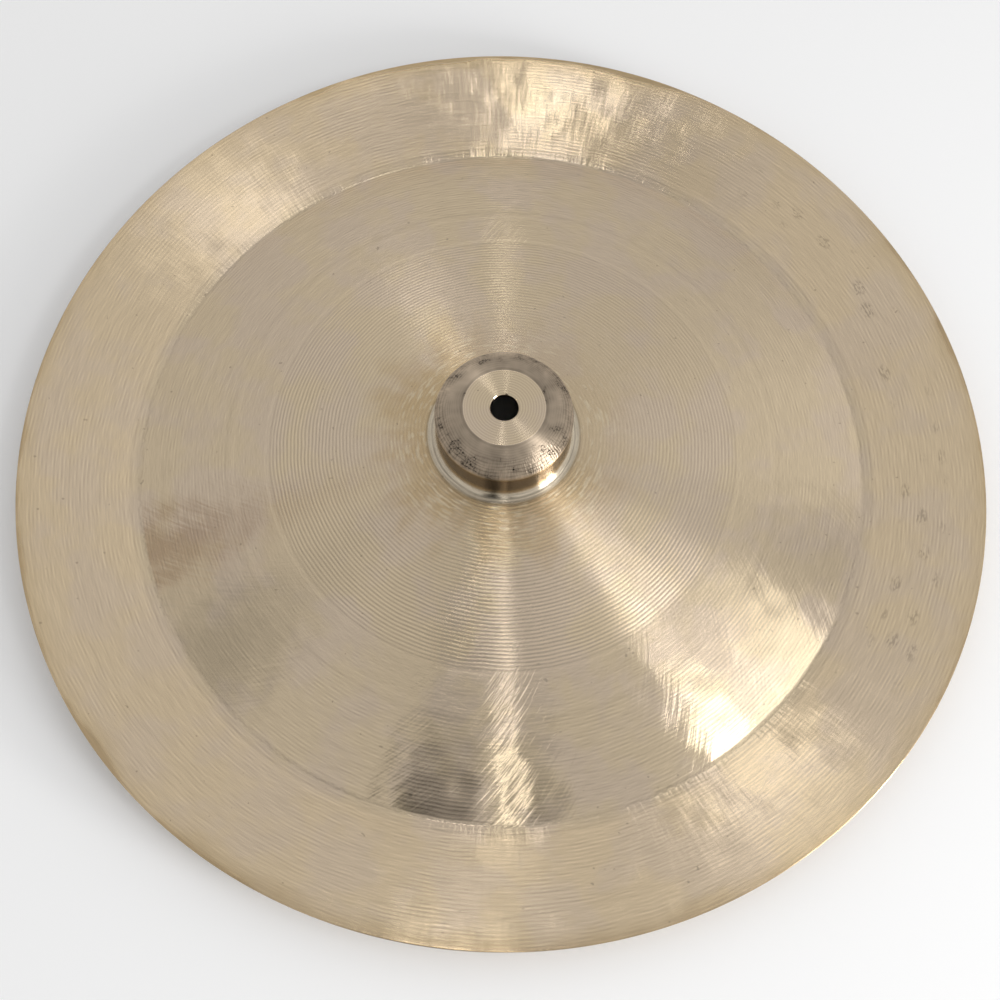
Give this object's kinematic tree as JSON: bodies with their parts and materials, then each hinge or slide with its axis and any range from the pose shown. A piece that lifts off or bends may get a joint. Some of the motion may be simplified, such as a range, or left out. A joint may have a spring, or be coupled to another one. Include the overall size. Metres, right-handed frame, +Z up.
{
  "type": "china cymbal",
  "caption": "Round bronze cymbal with a small cup-shaped bell, a domed bow, a crease and an upturned flange.",
  "frame": {"origin": "on the axis of the stand hole, at the level of the ring under the crease that the cymbal stands on when it lies bell up", "axes": "+Z up along the stand hole, out of the top of the bell; X and Y are free, as the cymbal is round"},
  "size_m": [0.4572, 0.4572, 0.0564],
  "materials": {
    "bronze": "hammered and lathed tin bronze with fine concentric grooves, satin, warmer towards the rim and greyer on the bell's shoulder"
  },
  "bodies": {
    "root": {"cymbal": "bronze"}
  },
  "joints": []
}
